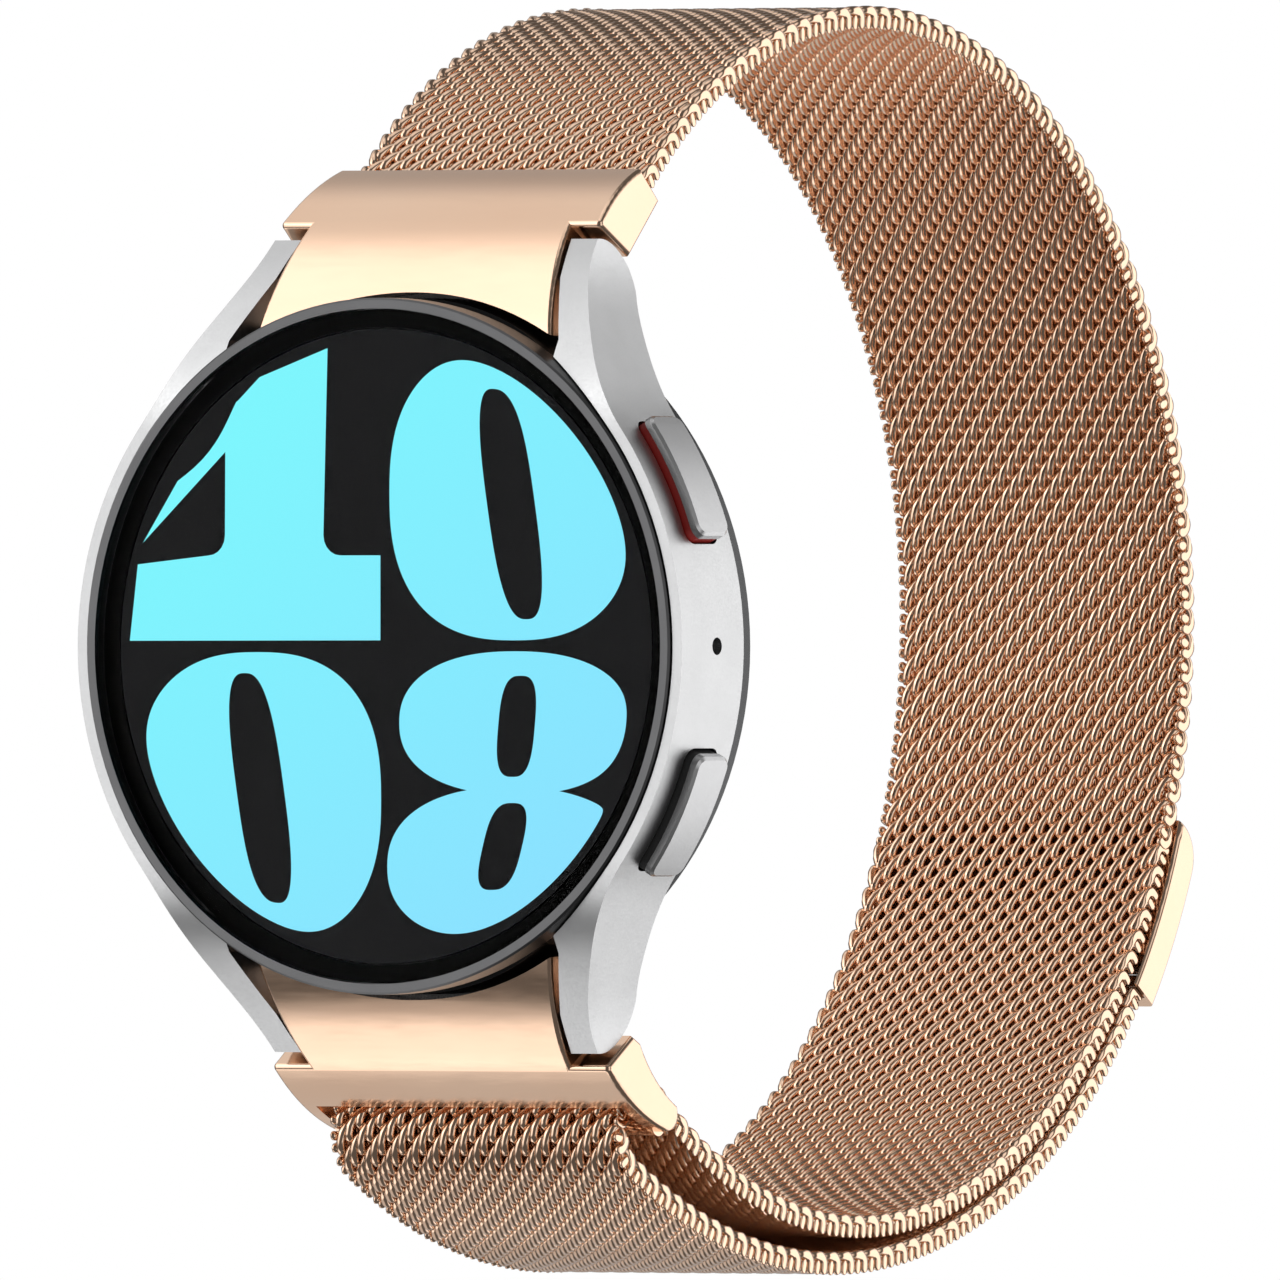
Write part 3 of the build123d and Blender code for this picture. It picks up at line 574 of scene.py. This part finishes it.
def filled(name, outlines):
    """A flat lit shape from outlines in X and Z; an outline inside another is a hole."""
    curve = bpy.data.curves.new(name, "CURVE")
    curve.dimensions, curve.fill_mode, curve.extrude = "2D", "BOTH", NUMERAL_HALF
    for outline in outlines:
        points = in_lit_circle(outline)
        spline = curve.splines.new("POLY")
        spline.points.add(len(points) - 1)
        places = np.column_stack([points, np.zeros(len(points)), np.ones(len(points))])
        spline.points.foreach_set("co", places.ravel())
        spline.use_cyclic_u = True
    source = bpy.data.objects.new(name + "_outline", curve)
    mesh = bpy.data.meshes.new_from_object(source)
    mesh.name = name
    co = np.array([v.co for v in mesh.vertices])
    mesh.vertices.foreach_set("co", np.stack([co[:, 0], NUMERAL_Y - co[:, 2], co[:, 1]], -1).ravel())
    piece = bpy.data.objects.new(name, mesh)
    scene.collection.objects.link(piece)
    mesh.materials.clear()
    mesh.materials.append(MATERIALS["numerals"])
    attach(piece, "watch_head")
    bpy.data.objects.remove(source)
    bpy.data.curves.remove(curve)


def arc_points(cx, cz, radius, a0, a1, count):
    """Points on an arc in X and Z."""
    angles = [radians(a0 + (a1 - a0) * i / (count - 1)) for i in range(count)]
    return [(cx + radius * cos(a), cz + radius * sin(a)) for a in angles]


def numeral_one():
    """A heavy 1: a slab foot, a thick stem and a flag that curves out of it."""
    foot, shoulder = 5.4, 7.0
    points = [(-0.35, 0.35), (-0.35, foot), (-3.2, foot)]
    points += arc_points(-3.2, foot + 1.2, 1.2, 270, 180, 6)
    points += [(-4.4, 19.0), (-10.6, 19.0), (-10.9, 15.2)]
    points += arc_points(-17.0, 15.8, 6.0, -6, -72, 10)
    points += [(-19.5, shoulder), (-11.4, shoulder + 4.6), (-11.4, foot + 1.4)]
    points += arc_points(-12.6, foot + 1.2, 1.2, 0, -90, 6)
    points += [(-19.5, foot), (-19.5, 0.35)]
    return [points]


def numeral_zero(side):
    """The upper right 0 and the lower left one: side is 1 or -1."""
    return [oval(side * 9.1, side * 9.1, 8.8, 8.75, 2.5), oval(side * 8.9, side * 8.5, 1.7, 6.9, 2.8, -1.1)]


def numeral_eight():
    """The 8 as two shapes that overlap, each an oval with its hole."""
    top = [oval(9.2, -4.55, 8.2, 4.25, 2.3), oval(9.3, -4.75, 1.3, 3.0, 3.0, 0.3)]
    bottom = [oval(8.9, -13.1, 8.75, 4.75, 2.3), oval(8.3, -11.9, 1.4, 2.6, 3.0, 0.7)]
    return top, bottom


filled("numeral_upper_left", numeral_one())
filled("numeral_upper_right", numeral_zero(1))
filled("numeral_lower_left", numeral_zero(-1))
for name, outlines in zip(("numeral_lower_right_top", "numeral_lower_right_bottom"), numeral_eight()):
    filled(name, outlines)


# --- studio ---
VIEW_ANGLE = 32.9           # the camera stands this far round from the dial's axis, towards the buttons
DISTANCE = 3.0              # far enough off that the watch hardly narrows with depth
FIELD = 76.65 * MM          # what the picture's side covers, at the watch
AIM = Vector((0.0, -8.17, 0.37)) * MM       # the point in the middle of the picture
SENSOR_WIDTH = 36.0


def camera():
    """Looks level at the watch from beside the dial's axis."""
    a = radians(VIEW_ANGLE)
    back = Vector((sin(a), -cos(a), 0))
    data = bpy.data.cameras.new("camera")
    data.sensor_width, data.lens = SENSOR_WIDTH, SENSOR_WIDTH * DISTANCE / FIELD
    data.clip_start, data.clip_end = 0.1, 20.0
    eye = bpy.data.objects.new("camera", data)
    eye.location = AIM + back * DISTANCE
    eye.rotation_mode = "QUATERNION"
    eye.rotation_quaternion = (-back).to_track_quat("-Z", "Y")
    scene.collection.objects.link(eye)
    scene.camera = eye


# Soft boxes in the studio's surroundings, in degrees: how far round each is from the dial's axis towards the
# buttons, half its width and the width of its fade; how far up it is, half its height and the height of its
# fade; then its strength.
SOFT_BOXES = (
    (-50, 14, 30, 36, 12, 24, 1.35),
    (-40, 12, 22, 0, 13, 22, 1.15),
    (-105, 12, 34, 52, 12, 24, 0.66),
    (-75, 12, 18, -60, 12, 20, 1.15),
    (-120, 15, 30, -50, 10, 20, 0.45),
    (78, 10, 18, 4, 26, 22, 0.8),
    (150, 16, 18, -4, 20, 22, 1.05),
    (180, 40, 30, 0, 24, 20, 0.28),
    (0, 180, 1, 84, 8, 12, 0.65),
)
SURROUND = 0.1              # the light between the soft boxes
FLOOR_DROP = 62 * MM        # from the band down to the floor, with room for the tail to swing down
FLOOR_HALF = 1.2


def studio():
    """The soft boxes light the watch, and the camera itself sees plain white behind it."""
    world = bpy.data.worlds.new("studio")
    scene.world = world
    world.use_nodes = True
    nodes = Nodes(world.node_tree)

    def math(operation, *values):
        node = nodes.add("ShaderNodeMath", operation=operation)
        for socket, value in zip(node.inputs, values):
            if isinstance(value, (int, float)):
                socket.default_value = value
            else:
                nodes.link(value, socket)
        return node.outputs[0]

    def window(off, half, fade):
        """1 within half degrees of a soft box's middle, fading to 0."""
        node = nodes.add("ShaderNodeMapRange", interpolation_type="SMOOTHSTEP")
        for socket, value in (("From Min", radians(half)), ("From Max", radians(half + fade)),
                              ("To Min", 1.0), ("To Max", 0.0)):
            node.inputs[socket].default_value = value
        nodes.link(off, node.inputs["Value"])
        return node.outputs["Result"]

    place = nodes.add("ShaderNodeTexCoord")
    level = nodes.add("ShaderNodeVectorMath", operation="MULTIPLY")
    level.inputs[1].default_value = (1, 1, 0)
    nodes.link(place.outputs["Generated"], level.inputs[0])
    round_way = nodes.add("ShaderNodeVectorMath", operation="NORMALIZE")
    nodes.link(level.outputs["Vector"], round_way.inputs[0])
    height = nodes.add("ShaderNodeSeparateXYZ")
    nodes.link(place.outputs["Generated"], height.inputs["Vector"])
    up = math("ARCSINE", height.outputs["Z"])
    total = SURROUND
    for around, half_width, side_fade, raised, half_height, end_fade, strength in SOFT_BOXES:
        a = radians(around)
        dot = nodes.add("ShaderNodeVectorMath", operation="DOT_PRODUCT")
        dot.inputs[1].default_value = (sin(a), -cos(a), 0)
        nodes.link(round_way.outputs["Vector"], dot.inputs[0])
        sideways = window(math("ARCCOSINE", dot.outputs["Value"]), half_width, side_fade)
        upright = window(math("ABSOLUTE", math("SUBTRACT", up, radians(raised))), half_height, end_fade)
        total = math("ADD", math("MULTIPLY", math("MULTIPLY", sideways, upright), strength), total)
    light = nodes.add("ShaderNodeBackground")
    nodes.link(total, light.inputs["Color"])
    backdrop = nodes.add("ShaderNodeBackground")
    backdrop.inputs["Color"].default_value = (1, 1, 1, 1)
    path = nodes.add("ShaderNodeLightPath")
    either = nodes.add("ShaderNodeMixShader")
    nodes.link(path.outputs["Is Camera Ray"], either.inputs[0])
    nodes.link(light.outputs["Background"], either.inputs[1])
    nodes.link(backdrop.outputs["Background"], either.inputs[2])
    output = nodes.add("ShaderNodeOutputWorld")
    nodes.link(either.outputs["Shader"], output.inputs["Surface"])


def floor():
    """A pale floor, low enough for the tail to swing down over it."""
    half, z = FLOOR_HALF, cad_low.z - FLOOR_DROP
    corners = np.array([(-half, -half, z), (half, -half, z), (half, half, z), (-half, half, z)])
    piece = mesh_object("studio_floor", corners, [np.array([[0, 1, 2, 3]])], smooth=False)
    material = surface("studio_floor", (0.82, 0.82, 0.82), (0.8, 0.8, 0.8), (0.6, 0.7), 20, bump=0,
                       Emission_Color=(1, 1, 1, 1), Emission_Strength=0.8)
    piece.data.materials.append(material)
    piece.visible_glossy = False


camera()
studio()
floor()
scene.view_settings.view_transform = "Standard"
